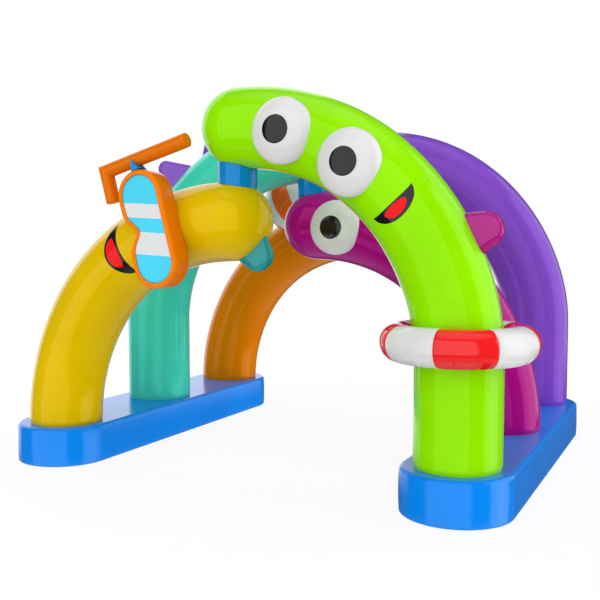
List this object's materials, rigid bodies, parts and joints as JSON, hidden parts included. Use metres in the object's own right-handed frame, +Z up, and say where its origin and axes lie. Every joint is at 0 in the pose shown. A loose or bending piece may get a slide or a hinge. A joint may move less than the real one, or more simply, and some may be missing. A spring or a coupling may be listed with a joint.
{
  "type": "inflatable arch",
  "caption": "Walk-through arch of bent, round-headed air tubes on long bases, with fins, dome eyes, a diving mask and snorkel, a ring buoy and a ball.",
  "frame": {"origin": "on the floor, under the middle of the whole arch's bounding box", "axes": "+X across the walkway, from the base on the left to the base on the right; +Y along the walkway, from the front row to the back row; +Z up"},
  "size_m": [7.0575, 5.8795, 4.828],
  "materials": {
    "yellow": "welded coated fabric, glossy yellow",
    "teal": "welded coated fabric, glossy teal",
    "orange": "welded coated fabric, glossy brown-orange",
    "green": "welded coated fabric, glossy lime green",
    "magenta": "welded coated fabric, glossy magenta",
    "purple": "welded coated fabric, glossy purple",
    "blue": "welded coated fabric, glossy blue",
    "white": "welded coated fabric, glossy white",
    "red": "welded coated fabric, glossy red",
    "black": "coated fabric patch, glossy black",
    "mask_orange": "welded coated fabric, glossy bright orange",
    "cyan": "welded coated fabric, glossy light blue"
  },
  "bodies": {
    "root": {"ball": "white", "base_left": "blue", "base_right": "blue", "buoy_red_1": "red", "buoy_red_2": "red", "buoy_red_3": "red", "buoy_red_4": "red", "buoy_white_1": "white", "buoy_white_2": "white", "buoy_white_3": "white", "buoy_white_4": "white", "eye_green_1": "white", "eye_green_2": "white", "eye_magenta": "white", "fin_magenta": "magenta", "fin_purple_1": "purple", "fin_purple_2": "purple", "fin_teal": "teal", "keeper": "blue", "mask_frame": "mask_orange", "mask_lens": "cyan", "mouth_green": "black", "mouth_yellow": "black", "post_back": "blue", "post_front": "blue", "post_middle": "blue", "pupil_green_1": "black", "pupil_green_2": "black", "pupil_magenta": "black", "snorkel": "mask_orange", "tongue_green": "red", "tongue_yellow": "red", "tube_green_arm": "green", "tube_green_leg": "green", "tube_magenta_arm": "magenta", "tube_magenta_leg": "magenta", "tube_orange_arm": "orange", "tube_orange_leg": "orange", "tube_purple_arm": "purple", "tube_purple_leg": "purple", "tube_teal_arm": "teal", "tube_teal_leg": "teal", "tube_yellow_arm": "yellow", "tube_yellow_leg": "yellow"}
  },
  "joints": []
}
